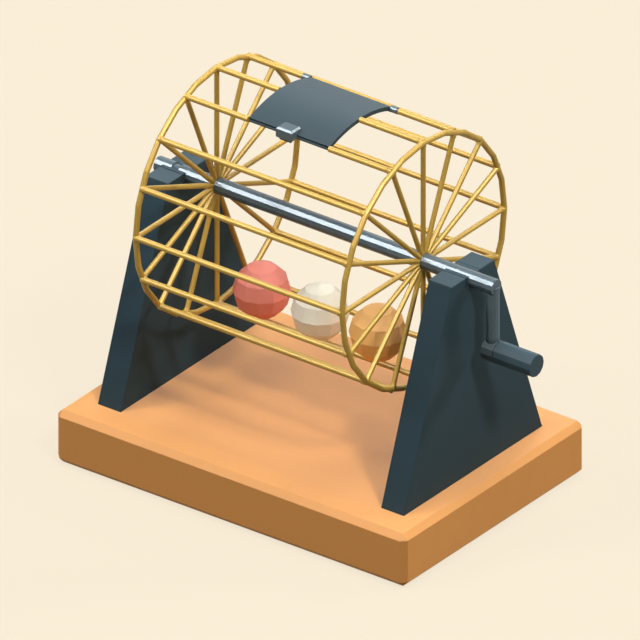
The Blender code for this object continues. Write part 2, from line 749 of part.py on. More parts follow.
def make_arm(cage, material):
    """A round arm, saddled under the shaft's end, with a boss that lines up with the grip."""
    shape = rod(-CRANK_THROW, 0, ARM_DIAMETER, SHAFT_SIDES)
    arm = piece("crank_arm", moved(shape, (ARM_X, 0, AXIS_HEIGHT), upright_turn()), material, cage)
    boss = rod(BOSS_LEFT, BOSS_RIGHT, GRIP_DIAMETER, SHAFT_SIDES)
    combine(arm, moved(boss, (0, 0, grip_height())), "boss", "UNION")
    saddle = 2 * (SHAFT_RADIUS + around(FIT, SHAFT_SIDES))
    left = ARM_X - ARM_DIAMETER
    shape = moved(rod(left, SHAFT_RIGHT + FIT, saddle, SHAFT_SIDES), (0, 0, AXIS_HEIGHT))
    combine(arm, shape, "saddle")
    hole = around(DOWEL_DIAMETER / 2 + FIT, ROUND_SIDES)
    combine(arm, standing_rod(ARM_X, dowel_bottom() - FIT, 0, hole), "dowel_hole")
    bore = 2 * around(CRANK_PIN / 2 + FIT, ROUND_SIDES)
    low = BOSS_RIGHT - CRANK_PIN_BITE - FIT
    shape = moved(rod(low, BOSS_RIGHT + OVERRUN, bore, ROUND_SIDES), (0, 0, grip_height()))
    combine(arm, shape, "pin_bore")
    return arm


def make_dowel(cage, material):
    shape = standing_rod(ARM_X, dowel_bottom(), dowel_top(), DOWEL_DIAMETER / 2)
    return piece("crank_dowel", shape, material, cage, math.radians(40))


def grip_start():
    return BOSS_RIGHT + FIT


def grip_bore_end():
    return grip_start() + GRIP_LENGTH - GRIP_END_WALL


def clip_start():
    return grip_bore_end() - CLIP_SETBACK


def make_crank_pin(cage, material):
    radius = CRANK_PIN / 2
    seat = radius - CLIP_SEAT_DEPTH
    start, end = clip_start() - FIT, clip_start() + CLIP_WIDTH + FIT
    low, high = BOSS_RIGHT - CRANK_PIN_BITE, grip_bore_end() - FIT
    profile = [(low, 0), (low, radius), (start, radius), (start, seat), (end, seat), (end, radius)]
    profile += [(high, radius), (high, 0)]
    shape = moved(turned(bmesh.new(), profile, ROUND_SIDES), (0, 0, grip_height()))
    return piece("crank_pin", shape, material, cage, math.radians(40))


def make_clip(cage, material):
    """A spring clip in the pin's groove, which holds the grip on. Its gap faces up."""
    inner = CRANK_PIN / 2 - CLIP_SEAT_DEPTH + FIT
    outer = inner + CLIP_WALL
    arc = math.tau - CLIP_OPENING
    angles = [CLIP_OPENING / 2 + arc * i / ROUND_SIDES for i in range(ROUND_SIDES + 1)]
    outline = [polar(outer, a) for a in angles] + [polar(inner, a) for a in reversed(angles)]
    shape = prism_x(bmesh.new(), outline, clip_start(), clip_start() + CLIP_WIDTH)
    return piece("grip_clip", moved(shape, (0, 0, grip_height())), material, cage, math.radians(40))


def make_grip(grip, material):
    """A twelve-sided grip, bored from the crank's side, with a groove inside for the clip."""
    start, end, bore_end = grip_start(), grip_start() + GRIP_LENGTH, grip_bore_end()
    radius = GRIP_DIAMETER / 2
    bore = around(CRANK_PIN / 2 + FIT, SHAFT_SIDES)
    groove = around(CRANK_PIN / 2 - CLIP_SEAT_DEPTH + FIT + CLIP_WALL + FIT, SHAFT_SIDES)
    groove_low, groove_high = clip_start() - FIT, clip_start() + CLIP_WIDTH + FIT
    profile = [(end, 0), (end, radius), (start, radius), (start, bore), (groove_low, bore)]
    profile += [(groove_low, groove), (groove_high, groove), (groove_high, bore)]
    profile += [(bore_end, bore), (bore_end, 0)]
    shape = moved(turned(bmesh.new(), profile, SHAFT_SIDES), (0, 0, grip_height()))
    return piece("hand_grip", shape, material, grip)


def make_ball(name, column, drum_axis, material):
    """A faceted ball on the lowest bar, with flats as if cut between rings and meridians."""
    shape = bmesh.new()
    bmesh.ops.create_uvsphere(
        shape, u_segments=BALL_SEGMENTS, v_segments=BALL_RINGS, radius=BALL_DIAMETER / 2
    )
    moved(shape, (column * BALL_PITCH, 0, AXIS_HEIGHT - BALL_ORBIT))
    return piece(name, shape, material, drum_axis)


def build():
    clear_scene()
    wood = make_material("base_wood", "EBA766", 0.5)
    cork = make_material("mat_rubber", "2B2B2A", 0.9)
    board = make_material("upright_paint", "3A4B54", 0.45)
    liner = make_material("bearing_nylon", "55636B", 0.4)
    steel = make_material("dark_steel", "6B7B85", 0.25, 0.9)
    bright = make_material("bright_steel", "B9BEC4", 0.3, 1.0)
    brass = make_material("brass_wire", "D9A94A", 0.3, 1.0)
    slate = make_material("door_enamel", "66757C", 0.4)
    grip_plastic = make_material("grip_plastic", "46545C", 0.45)
    red = make_material("ball_red", "E0705F", 0.5)
    ivory = make_material("ball_ivory", "F0E8D8", 0.5)
    orange = make_material("ball_orange", "E8954E", 0.5)

    make_base(wood)
    make_mat(cork)
    for side in (-1, 1):
        make_upright(side, board)
        make_bearing(side, liner)
        for end in (-1, 1):
            make_screw(side, end, bright)

    cage = pivot("cage_axis", (0, 0, AXIS_HEIGHT))
    make_shaft(cage, steel)
    for side in (-1, 1):
        make_hub(side, cage, brass)
        make_hub_pin(side, cage, bright)
        make_spokes(side, cage, brass)
        make_ring(side, cage, brass)
    make_bars(cage, brass)
    make_frame(cage, slate)
    for side in (-1, 1):
        make_fixed_knuckle(side, cage, steel)
    make_hinge_pin(cage, bright)

    door = pivot("door_axis", hinge_place(), cage)
    make_door(door, slate)
    make_catch(door, steel)
    make_magnet(door, bright)
    for side in (-1, 1):
        make_rivet(side, door, bright)

    make_arm(cage, steel)
    make_dowel(cage, bright)
    make_crank_pin(cage, bright)
    make_clip(cage, bright)
    grip = pivot("grip_axis", (grip_start(), 0, grip_height()), cage)
    make_grip(grip, grip_plastic)

    for name, column, material in (
        ("ball_red", -1, red),
        ("ball_ivory", 0, ivory),
        ("ball_orange", 1, orange),
    ):
        drum_axis = pivot(f"{name}_axis", (0, 0, AXIS_HEIGHT))
        make_ball(name, column, drum_axis, material)


build()
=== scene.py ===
# %% [markdown]
# # A hand cranked bingo cage
#
# A brass wire drum turns on a steel shaft between two slate uprights. A crank turns it, three
# balls tumble inside, and a curved door at the top lets them out. The mechanism is already built
# and measured, and this lesson dresses it: each piece is modelled again with the edges and joints
# that a maker would leave, and gets a finish made of shader nodes.
#
# The first cell loads the mechanism as a fixed frame, in metres, and `MM` turns millimetres into
# metres. X runs along the shaft towards the crank, -Y is the front, and Z is up.

# %% The frame
import math

import bmesh
import bpy
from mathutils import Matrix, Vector


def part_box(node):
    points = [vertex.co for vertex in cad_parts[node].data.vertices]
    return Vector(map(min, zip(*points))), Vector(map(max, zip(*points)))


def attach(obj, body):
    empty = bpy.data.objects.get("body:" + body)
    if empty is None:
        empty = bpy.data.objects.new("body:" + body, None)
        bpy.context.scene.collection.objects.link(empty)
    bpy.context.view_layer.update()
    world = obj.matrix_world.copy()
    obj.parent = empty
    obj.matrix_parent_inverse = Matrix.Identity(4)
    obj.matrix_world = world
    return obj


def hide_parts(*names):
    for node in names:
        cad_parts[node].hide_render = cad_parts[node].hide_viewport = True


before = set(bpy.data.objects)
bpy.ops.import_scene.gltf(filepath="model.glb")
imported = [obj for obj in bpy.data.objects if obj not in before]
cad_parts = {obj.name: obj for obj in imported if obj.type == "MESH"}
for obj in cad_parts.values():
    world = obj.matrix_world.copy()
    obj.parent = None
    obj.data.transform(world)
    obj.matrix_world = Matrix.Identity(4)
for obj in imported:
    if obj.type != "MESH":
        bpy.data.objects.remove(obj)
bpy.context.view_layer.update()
MM = 0.001

# %% [markdown]
# ## Shader maths in plain Python
#
# A finish is a small program that runs at each point of a surface. `Signal` wraps one output of a
# node, so that `1 - grain * 0.2` adds the Math nodes for it. A `Recipe` holds the nodes of a
# material or of the world. Its `node` method adds any node: the settings first, then each socket's
# value or link.

# %% Signals and recipes
class Signal:
    """A value that changes over a surface."""

    def __init__(self, recipe, socket):
        self.recipe = recipe
        self.socket = socket

    def worked(self, operation, first, second):
        """The result of a Math node."""
        return self.recipe.node("ShaderNodeMath", {"operation": operation}, {0: first, 1: second})

    def __add__(self, other):
        return self.worked("ADD", self, other)

    def __sub__(self, other):
        return self.worked("SUBTRACT", self, other)

    def __rsub__(self, other):
        return self.worked("SUBTRACT", other, self)

    def __mul__(self, other):
        return self.worked("MULTIPLY", self, other)

    def __truediv__(self, other):
        return self.worked("DIVIDE", self, other)

    def most(self, other):
        """The larger of two signals."""
        return self.worked("MAXIMUM", self, other)

    __radd__ = __add__
    __rmul__ = __mul__


class Recipe:
    """The nodes of a material or of the world."""

    def __init__(self, tree):
        self.tree = tree

    def node(self, kind, settings=None, sockets=None, output=0):
        """Adds a node and returns one of its outputs as a signal."""
        node = self.tree.nodes.new(kind)
        for name, value in (settings or {}).items():
            if name == "stops":
                for stop, position in zip(node.color_ramp.elements, value):
                    stop.position = position
            else:
                setattr(node, name, value)
        for name, value in (sockets or {}).items():
            if isinstance(value, Signal):
                self.tree.links.new(value.socket, node.inputs[name])
            else:
                node.inputs[name].default_value = value
        return Signal(self, node.outputs[output])

    def ends_in(self, kind, surface):
        """Adds the output node, which the finished surface goes into."""
        end = self.tree.nodes.new(kind)
        self.tree.links.new(surface.socket, end.inputs["Surface"])


print("signals and recipes are ready")

# %% [markdown]
# A `Finish` is the recipe of one material, with its Principled shader. Patterns are made in Object
# coordinates, in metres, so that they keep their size and ride on their piece. A ramp only knows
# numbers from 0 to 1, so `past` divides places by a reach that none of its masks exceeds. What is
# the same all over the surface goes straight into the shader's own sockets, and `feed` links what
# varies.

# %% Finishes
REACH = 200 * MM


def linear(code):
    """A colour code such as E39C48 as the linear values that shaders use, by the sRGB curve."""
    channels = [int(code[i : i + 2], 16) / 255 for i in (0, 2, 4)]
    return [c / 12.92 if c <= 0.04045 else ((c + 0.055) / 1.055) ** 2.4 for c in channels] + [1.0]


class Finish(Recipe):
    """A material in the making, and the record's slot that it belongs to."""

    def __init__(self, slot, code, roughness, **constants):
        self.slot = slot
        self.material = bpy.data.materials.new(slot)
        self.material.use_nodes = True
        super().__init__(self.material.node_tree)
        self.shader = self.tree.nodes["Principled BSDF"]
        self.colour = linear(code)
        self.shader.inputs["Base Color"].default_value = self.colour
        self.shader.inputs["Roughness"].default_value = roughness
        for name, value in constants.items():
            self.shader.inputs[name.replace("_", " ")].default_value = value
        self.place = self.node("ShaderNodeTexCoord", output="Object")

    def noise(self, size, stretch=(1.0, 1.0, 1.0), detail=2.0):
        """Soft random patches of about this size. A stretch under 1 draws them out on that axis."""
        place = self.node("ShaderNodeMapping", None, {"Vector": self.place, "Scale": stretch})
        sockets = {"Vector": place, "Scale": 1 / size, "Detail": detail}
        return self.node("ShaderNodeTexNoise", None, sockets, output="Fac")

    def pimples(self, size):
        """Round cells of about this size, which are low in the middle and high between them."""
        sockets = {"Vector": self.place, "Scale": 1 / size}
        return self.node("ShaderNodeTexVoronoi", {"feature": "F1"}, sockets)

    def along(self, axis):
        """The place on one axis."""
        return self.node("ShaderNodeSeparateXYZ", None, {"Vector": self.place}, output=axis)

    def steps(self, signal, low, high):
        """Nothing below the low level, everything above the high one, both from 0 to 1."""
        return self.node("ShaderNodeValToRGB", {"stops": (low, high)}, {"Fac": signal})

    def past(self, place, low, high):
        """Nothing up to one place on an axis, everything from the other, as shares of the reach."""
        return self.steps(place / REACH, low / REACH, high / REACH)

    def mixed(self, first, second, amount):
        """A colour between two others."""
        sockets = {"Factor": amount, 6: first, 7: second}
        return self.node("ShaderNodeMix", {"data_type": "RGBA"}, sockets, output=2)

    def shaded(self, darker, lighter, amount):
        """The finish's own colour, from darker to lighter than it is by these factors."""
        ends = []
        for factor in (darker, lighter):
            ends.append([channel * factor for channel in self.colour[:3]] + [1.0])
        return self.mixed(*ends, amount)

    def feed(self, name, signal):
        """Links a signal to one of the shader's sockets."""
        self.tree.links.new(signal.socket, self.shader.inputs[name])

    def relief(self, height, depth):
        """Raises the surface by up to this depth where the signal is high."""
        bump = self.node("ShaderNodeBump", None, {"Height": height, "Distance": depth})
        self.feed("Normal", bump)


print("finishes are ready")

# %% [markdown]
# ## The finishes
#
# The base is solid wood under a satin lacquer. Its grain runs along the board, so one noise is
# drawn out along X for the growth bands and a finer one for the pores, and both stay faint.

# %% Lacquered wood
wood = Finish("base_wood", "E29D53", 0.6, Specular_IOR_Level=0.25)
bands = wood.noise(14 * MM, stretch=(0.06, 1.0, 0.5), detail=3.0)
fibres = wood.noise(1.2 * MM, stretch=(0.04, 1.0, 1.0))
pores = wood.steps(wood.noise(0.7 * MM, stretch=(0.12, 1.0, 1.0)), 0.62, 0.72)
wood.feed("Base Color", wood.shaded(0.94, 1.04, bands * 0.7 + fibres * 0.3))
wood.feed("Roughness", 0.56 + 0.08 * fibres)
wood.relief(fibres * 0.5 - pores * 0.5, 0.03 * MM)
print("base_wood has a grain along X")

# %% [markdown]
# The mat under the base is rubber with a fine pimpled texture, and it hides four screw heads.

# %% Rubber mat
rubber = Finish("mat_rubber", "2E2D2B", 0.85)
rubber.feed("Base Color", rubber.shaded(0.8, 1.15, rubber.noise(6 * MM)))
rubber.relief(1 - rubber.pimples(2.2 * MM), 0.25 * MM)
print("mat_rubber is pimpled")

# %% [markdown]
# The uprights are painted board. A sprayed coat has the fine waviness of orange peel, a slow
# drift of tone, and here and there a rougher patch where hands have held it. Painted shade makes
# the paint darker towards the feet, and a painted sheen makes the flat tops lighter. Both are
# masks on the height.

# %% Slate paint
slate = Finish("upright_paint", "354A54", 0.5, Specular_IOR_Level=0.06)
drift = slate.noise(45 * MM)
# Painted shade: the paint goes from darker at 50 mm up to lighter at 150 mm up.
painted_light_by_height = slate.past(slate.along("Z"), 50 * MM, 150 * MM)
# Painted sheen: the flat tops, from 179 mm up, are mixed towards the lighter colour 3D5059.
painted_sheen_on_tops = slate.past(slate.along("Z"), 179 * MM, 181 * MM)
tone_and_painted_shade = slate.shaded(0.75, 1.06, drift * 0.35 + painted_light_by_height * 0.65)
slate.feed("Base Color", slate.mixed(tone_and_painted_shade, linear("3D5059"), painted_sheen_on_tops))
slate.feed("Roughness", 0.44 + 0.12 * drift)
slate.relief(slate.noise(1.4 * MM), 0.02 * MM)
# The lighter top that this reports is painted sheen over painted shade.
print("upright_paint has orange peel and is rubbed lighter at the top")

# %% [markdown]
# The bearings are nylon liners: a plain, slightly waxy plastic with a soft mould texture.

# %% Nylon
nylon = Finish("bearing_nylon", "374B55", 0.5, Specular_IOR_Level=0.06)
nylon.feed("Base Color", nylon.shaded(0.92, 1.06, nylon.noise(5 * MM)))
nylon.relief(nylon.noise(0.4 * MM), 0.01 * MM)
print("bearing_nylon is lightly textured")

# %% [markdown]
# Drawn brass wire has fine lengthwise drawing marks and a slow tarnish. Heat darkens it where it
# was brazed. All the joints lie in the drum's two end planes, so the heat's tint is a mask on the
# distance from the middle: nothing up to 70 mm, all of it from 78 mm, just before the rings.

# %% Brass wire
brass = Finish("brass_wire", "C09C3E", 0.45, Metallic=0.15, Specular_IOR_Level=0.4)
tarnish = brass.noise(22 * MM, detail=3.0)
marks = brass.noise(0.5 * MM, stretch=(0.15, 1.0, 1.0))
from_middle = brass.node("ShaderNodeMath", {"operation": "ABSOLUTE"}, {0: brass.along("X")})
heat = brass.past(from_middle, 70 * MM, 78 * MM)
brass.feed("Base Color", brass.shaded(0.88, 1.08, tarnish * 0.6 + marks * 0.4 - heat * 0.15))
brass.feed("Roughness", 0.4 + 0.1 * tarnish)
print("brass_wire has drawing marks, a light tarnish and a heat tint at its ends")

# %% [markdown]
# The shaft is blued steel bar. It is drawn, so its marks run along X, and its blueing is uneven.
# The catch block and the hinge knuckles are cut from the same bar.

# %% Blued steel
steel = Finish("shaft_steel", "61717B", 0.2, Metallic=0.05, Specular_IOR_Level=0.15)
blueing = steel.noise(16 * MM, detail=3.0)
drawn = steel.noise(0.35 * MM, stretch=(0.03, 1.0, 1.0))
steel.feed("Base Color", steel.shaded(0.9, 1.08, blueing * 0.7 + drawn * 0.3))
steel.feed("Roughness", 0.19 + 0.015 * drawn)
print("shaft_steel is drawn along X")

# %% [markdown]
# The crank arm is enamelled in a satin slate, and its boss has gone darker, because fingers rub it
# beside the grip. A mask on the height keeps that tone to the boss: none of the light tone below
# 138 mm, all of it from 142 mm. The pins, screws and rivets are zinc plated.

# %% Enamel and zinc
enamel = Finish("arm_steel", "64767F", 0.45, Specular_IOR_Level=0.05)
above_boss = enamel.past(enamel.along("Z"), 138 * MM, 142 * MM)
enamel_tone = above_boss * 0.74 + enamel.noise(12 * MM) * 0.26
enamel.feed("Base Color", enamel.shaded(0.46, 1.08, enamel_tone))
enamel.relief(enamel.noise(0.9 * MM), 0.012 * MM)
zinc = Finish("bright_steel", "A9AFB4", 0.3, Metallic=1.0)
spangle = zinc.noise(1.1 * MM, detail=1.0)
zinc.feed("Base Color", zinc.shaded(0.88, 1.06, spangle))
zinc.feed("Roughness", 0.24 + 0.14 * spangle)
print("arm_steel and bright_steel are ready")

# %% [markdown]
# The door is anodised sheet, which keeps the fine rolling lines of the metal under its colour.

# %% Anodised sheet
sheet = Finish("door_slate", "3F4F57", 0.5, Specular_IOR_Level=0.1)
rolling = sheet.noise(0.5 * MM, stretch=(0.04, 1.0, 1.0))
clouding = sheet.noise(30 * MM)
sheet.feed("Base Color", sheet.shaded(0.93, 1.05, clouding * 0.7 + rolling * 0.3))
sheet.feed("Roughness", 0.5 + 0.08 * rolling)
print("door_slate has rolling lines along X")

# %% [markdown]
# The grip is moulded plastic with a fine leather texture, and a little polish where it is held.

# %% Moulded plastic
plastic = Finish("grip_plastic", "3E525B", 0.45, Specular_IOR_Level=0.08)
plastic.feed("Base Color", plastic.shaded(0.93, 1.07, plastic.noise(9 * MM)))
plastic.feed("Roughness", 0.44 + 0.1 * plastic.noise(18 * MM))
plastic.relief(plastic.pimples(0.7 * MM), 0.03 * MM)
print("grip_plastic has a leather texture")

# %% [markdown]
# The balls are turned wood, dipped in paint. A thin coat over the colour gives the satin gloss,
# and small handling marks make it less even. One recipe serves the three colours.

# %% Ball paints
def ball_paint(slot, code):
    """The paint of one ball."""
    paint = Finish(slot, code, 0.7, Specular_IOR_Level=0.25, Coat_Weight=0.03, Coat_Roughness=0.5)
    handling = paint.noise(7 * MM, detail=3.0)
    scuffs = paint.steps(paint.noise(2.2 * MM, stretch=(0.3, 1.0, 1.0)), 0.66, 0.74)
    paint.feed("Base Color", paint.shaded(0.95, 1.04, handling - scuffs * 0.3))
    paint.feed("Roughness", 0.7 + 0.1 * scuffs)
    paint.relief(paint.noise(1.6 * MM), 0.01 * MM)
    return paint


red_paint = ball_paint("ball_red", "F28B79")
ivory_paint = ball_paint("ball_ivory", "FFF9E6")
orange_paint = ball_paint("ball_orange", "FFC06C")
print("three ball paints")

# %% [markdown]
# ## Ways of working
#
# Operators act on whatever is selected, so each step starts by deselecting everything. A primitive
# is added at its size and place, and `shaped` then moves that place into its mesh, so that the
# object itself stays at the origin. `pick` opens a piece in edit mode and selects the faces, edges
# or corners that a rule asks for, by their place or normal, which is what a hand would click.

# %% Selecting
def deselect():
    """Leaves edit mode and selects nothing."""
    if bpy.context.mode != "OBJECT":
        bpy.ops.object.mode_set(mode="OBJECT")
    bpy.ops.object.select_all(action="DESELECT")


def choose(piece):
    """Makes a piece the only selected object."""
    deselect()
    piece.select_set(True)
    bpy.context.view_layer.objects.active = piece


def shaped(name):
    """Names the primitive just added, and puts its place, turn and size into its mesh."""
    piece = bpy.context.active_object
    piece.name = name
    choose(piece)
    bpy.ops.object.transform_apply(location=True, rotation=True, scale=True)
    return piece


def pick(piece, kind, rule=lambda part: True):
    """Selects the parts of a piece that a rule picks out, or else all, and stays in edit mode."""
    choose(piece)
    bpy.ops.object.mode_set(mode="EDIT")
    bpy.ops.mesh.select_mode(type=kind)
    bpy.ops.mesh.select_all(action="DESELECT")
    shape = bmesh.from_edit_mesh(piece.data)
    parts = {"VERT": shape.verts, "EDGE": shape.edges, "FACE": shape.faces}[kind]
    picked = 0
    for part in parts:
        if rule(part):
            part.select_set(True)
            picked += 1
    shape.select_flush_mode()
    bmesh.update_edit_mesh(piece.data)
    return picked


print("ready to select")

# %% [markdown]
# A piece is finished by modifiers that are applied at once. Edges sharper than 20 degrees are
# eased, and weighted normals keep the faces between them flat. `settle` then gives a piece its
# material and its moving body, and hides the nodes of the mechanism that it stands for. Nodes that
# are good enough as they were built, mostly hidden ones, only get a finish, with `dress`.

# %% Finishing
SHARP = math.radians(20)
ROUND = math.radians(60)
TOUCHING = 0.01 * MM


def apply(piece, kind, **settings):
    """Adds a modifier with these settings and applies it."""
    choose(piece)
    modifier = piece.modifiers.new(kind.title(), kind)
    for name, value in settings.items():
        setattr(modifier, name, value)
    bpy.ops.object.modifier_apply(modifier=modifier.name)


def ease_edges(piece, width, angle=SHARP):
    """Rounds the sharp edges a little, and keeps the faces between them flat."""
    apply(piece, "BEVEL", width=width, segments=2, limit_method="ANGLE", angle_limit=angle)
    bpy.ops.object.shade_smooth_by_angle(angle=ROUND)
    apply(piece, "WEIGHTED_NORMAL", keep_sharp=True)


def cut(piece, cutter, operation="DIFFERENCE"):
    """Cuts a piece with another one, which is then used up."""
    apply(piece, "BOOLEAN", object=cutter, operation=operation, solver="EXACT")
    bpy.data.objects.remove(cutter, do_unlink=True)


def settle(piece, finish, body, *nodes):
    """Gives a finished piece its material and its body, and hides the nodes it stands for."""
    deselect()
    piece.data.name = piece.name
    piece.data.materials.clear()
    piece.data.materials.append(finish.material)
    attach(piece, body)
    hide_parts(*nodes)
    print(f"{piece.name}: {len(piece.data.polygons)} faces, moves with {body}")


def dress(finish, *nodes):
    """Gives nodes that stay as they are a finish."""
    for name in nodes:
        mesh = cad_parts[name].data
        mesh.materials.clear()
        mesh.materials.append(finish.material)
    print(f"{finish.slot}: {len(nodes)} nodes dressed")


print("ready to finish pieces")

# %% [markdown]
# ## The base
#
# The base is one board with a 4 mm chamfer on every edge. It starts as a cube at the board's size
# and its edges are bevelled with one segment, which is a chamfer. The mat's recess is inset into
# the underside. Each edge is eased by a third of a millimetre, because no sanded edge is perfectly
# sharp and an eased one catches light. Last, two sockets are cut for the uprights' feet.

# %% Base board
GAP = 0.3 * MM
CHAMFER = 4 * MM
BOARD_EDGE = 0.35 * MM


def block(name, middle, size):
    """A cube at its size and place, for a start."""
    deselect()
    bpy.ops.mesh.primitive_cube_add(size=1, location=middle, scale=size)
    return shaped(name)


low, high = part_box("base_board")
base_top = high.z
mat_low, mat_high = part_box("base_mat")
base = block("base", (low + high) / 2, high - low)
pick(base, "EDGE")
bpy.ops.mesh.bevel(offset=CHAMFER, offset_type="OFFSET", segments=1, affect="EDGES")
pick(base, "FACE", lambda face: face.normal.z < -0.9)
bpy.ops.mesh.inset(thickness=mat_low.x - GAP - low.x - CHAMFER, depth=0)
recess = (0, 0, mat_high.z + GAP - low.z)
bpy.ops.mesh.extrude_region_move(TRANSFORM_OT_translate={"value": recess})
ease_edges(base, BOARD_EDGE)
for side in ("left", "right"):
    foot_low, foot_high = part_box(f"upright_{side}")
    middle = (foot_low + foot_high) / 2
    size = foot_high - foot_low
    middle.z = foot_low.z - GAP + size.z / 2
    cut(base, block("socket", middle, (size.x + 2 * GAP, size.y + 2 * GAP, size.z)))
settle(base, wood, "stand", "base_board")
dress(rubber, "base_mat")
dress(zinc, *[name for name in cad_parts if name.startswith("upright_screw")])

# %% [markdown]
# ## The uprights and their bearings
#
# The shaft's own box says how thick it is and how high it lies. Most round pieces lie along it, so
# one helper adds a rod there. Another makes the shape of an open slot: a rod with a block above it.

# %% Rods along the shaft
ROUND_SIDES = 48
SLOT_RISE = 20 * MM
shaft_low, shaft_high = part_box("drive_shaft")
shaft_radius = (shaft_high.z - shaft_low.z) / 2
axis_height = (shaft_low.z + shaft_high.z) / 2
bore_radius = shaft_radius + GAP


def lying_rod(name, radius, start, end, y=0.0, z=axis_height, sides=ROUND_SIDES):
    """A rod along X between two places, on the shaft's axis unless it is told another one."""
    deselect()
    bpy.ops.mesh.primitive_cylinder_add(
        vertices=sides,
        radius=radius,
        depth=end - start,
        location=((start + end) / 2, y, z),
        rotation=(0, math.pi / 2, 0),
    )
    return shaped(name)


def slot_round_the_shaft(radius, start, end):
    """A rod with a block above it, as wide as the rod."""
    slot = lying_rod("slot", radius, start, end)
    middle = ((start + end) / 2, 0, axis_height + SLOT_RISE / 2)
    cut(slot, block("slot_opening", middle, (end - start, 2 * radius, SLOT_RISE)), "UNION")
    return slot


print(f"The shaft lies {axis_height / MM:.1f} mm high and is {2 * shaft_radius / MM:.1f} mm thick.")

# %% [markdown]
# Each upright is a board that narrows towards the top and stands 6 mm deep in its socket. A cube
# is split where the taper starts, and its top face is then narrowed. The open notch is cut with a
# slot that leaves room for the bearing's liner. The right board is a copy of the left one, with a
# mesh of its own, as what comes in pairs is modelled once.

# %% Uprights
OVERRUN = 2 * MM
LINER_WALL = 1.5 * MM
TOP_DEPTH = 45.2 * MM
liner_outer = bore_radius + LINER_WALL


def split(piece, place, way, **settings):
    """Adds edges all round a piece where a plane crosses it."""
    pick(piece, "FACE")
    bpy.ops.mesh.bisect(plane_co=place, plane_no=way, **settings)


def copy_of(piece, name, move=(0, 0, 0)):
    """A copy with a mesh of its own, moved by this much."""
    choose(piece)
    bpy.ops.object.duplicate(linked=False)
    twin = bpy.context.active_object
    twin.name = name
    twin.location = move
    bpy.ops.object.transform_apply(location=True, rotation=True, scale=True)
    return twin


def pair_of(left, name, move):
    """A left piece and its copy at the right, by side. The {} in their name is the side."""
    left.name = name.format("left")
    return {"left": left, "right": copy_of(left, name.format("right"), (move, 0, 0))}


low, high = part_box("upright_left")
upright = block("upright", (low + high) / 2, high - low)
split(upright, (0, 0, base_top), (0, 0, 1))
pick(upright, "VERT", lambda corner: corner.co.z > base_top + MM)
taper = TOP_DEPTH / (high.y - low.y)
bpy.ops.transform.resize(value=(1, taper, 1), center_override=(0, 0, high.z))
cut(upright, slot_round_the_shaft(liner_outer + GAP, low.x - OVERRUN, high.x + OVERRUN))
ease_edges(upright, BOARD_EDGE)
upright_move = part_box("upright_right")[0].x - low.x
boards = pair_of(upright, "upright_{}_board", upright_move)
for side in boards:
    settle(boards[side], slate, "stand", f"upright_{side}")

# %% [markdown]
# The bearings are nylon liners that the shaft snaps into. Their outside is the notch's own shape, a
# little smaller. The bore is round and goes on past the middle, so that two lips close over the
# shaft. The left one keeps a rib in its bore, which runs in the shaft's neck and locates it. The
# slot is cut off level with the upright's top, and that leaves an open end to fill. A face that is
# filled in may point the wrong way, so all of them are turned outwards before the bore is cut.

# %% Bearings
HALF_RIB = 2.5 * MM
NECK_DEPTH = 1.2 * MM
MOULDED_EDGE = 0.1 * MM


def facing_out(piece):
    """Merges doubled corners and points every face outwards."""
    pick(piece, "VERT")
    bpy.ops.mesh.remove_doubles(threshold=TOUCHING)
    bpy.ops.mesh.normals_make_consistent(inside=False)
    deselect()


for side in ("left", "right"):
    low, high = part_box(f"bearing_{side}")
    middle = (low.x + high.x) / 2
    start, end = low.x - OVERRUN, high.x + OVERRUN
    bearing = slot_round_the_shaft(liner_outer, low.x, high.x)
    bearing.name = f"bearing_{side}_liner"
    split(bearing, (0, 0, high.z), (0, 0, 1), clear_outer=True, use_fill=True)
    facing_out(bearing)
    if side == "left":
        cut(bearing, lying_rod("rib_bore", bore_radius - NECK_DEPTH, start, end))
        cut(bearing, lying_rod("outer_bore", bore_radius, start, middle - HALF_RIB))
        cut(bearing, lying_rod("inner_bore", bore_radius, middle + HALF_RIB, end))
        neck_x = middle
    else:
        cut(bearing, lying_rod("bore", bore_radius, start, end))
    ease_edges(bearing, MOULDED_EDGE)
    settle(bearing, nylon, "stand", f"bearing_{side}")

# %% [markdown]
# ## The shaft
#
# The shaft is a twelve sided bar, so one of its flats catches the light along its whole length. A
# rod with twelve sides is split at both ends of the left bearing's neck, and the faces between are
# pushed in towards the axis.

# %% Shaft
SHAFT_SIDES = 12
SHAFT_EDGE = 0.12 * MM
half_neck = HALF_RIB + GAP
shaft = lying_rod("shaft", shaft_radius, shaft_low.x, shaft_high.x, sides=SHAFT_SIDES)
for x in (neck_x - half_neck, neck_x + half_neck):
    split(shaft, (x, 0, axis_height), (1, 0, 0))
pick(shaft, "FACE", lambda face: abs(face.calc_center_median().x - neck_x) < half_neck)
bpy.ops.mesh.extrude_region()
shrink = 1 - NECK_DEPTH / shaft_radius
bpy.ops.transform.resize(value=(1, shrink, shrink), center_override=(neck_x, 0, axis_height))
ease_edges(shaft, SHAFT_EDGE)
settle(shaft, steel, "cage", "drive_shaft")

# %% [markdown]
# ## The drum's ends
#
# Sixteen spokes run from a brass disc to each end ring. A spoke is made on the world's own centre,
# standing up, and its copies are then turned to their angles and moved to the shaft. Wires this
# thin only need sixteen sides.

# %% Wires
WIRE_SIDES = 16


def standing_rod(name, radius, start, end, x=0.0, sides=WIRE_SIDES):
    """A rod standing up between two heights, on the world's centre or beside it."""
    place = (x, 0, (start + end) / 2)
    deselect()
    bpy.ops.mesh.primitive_cylinder_add(
        vertices=sides, radius=radius, depth=end - start, location=place
    )
    return shaped(name)


def moved_to(piece, place, angle):
    """Turns a piece about X, moves it and puts both into its mesh."""
    choose(piece)
    piece.rotation_euler.x = angle
    piece.location = place
    bpy.ops.object.transform_apply(location=True, rotation=True, scale=True)


print(f"wires have {WIRE_SIDES} sides")

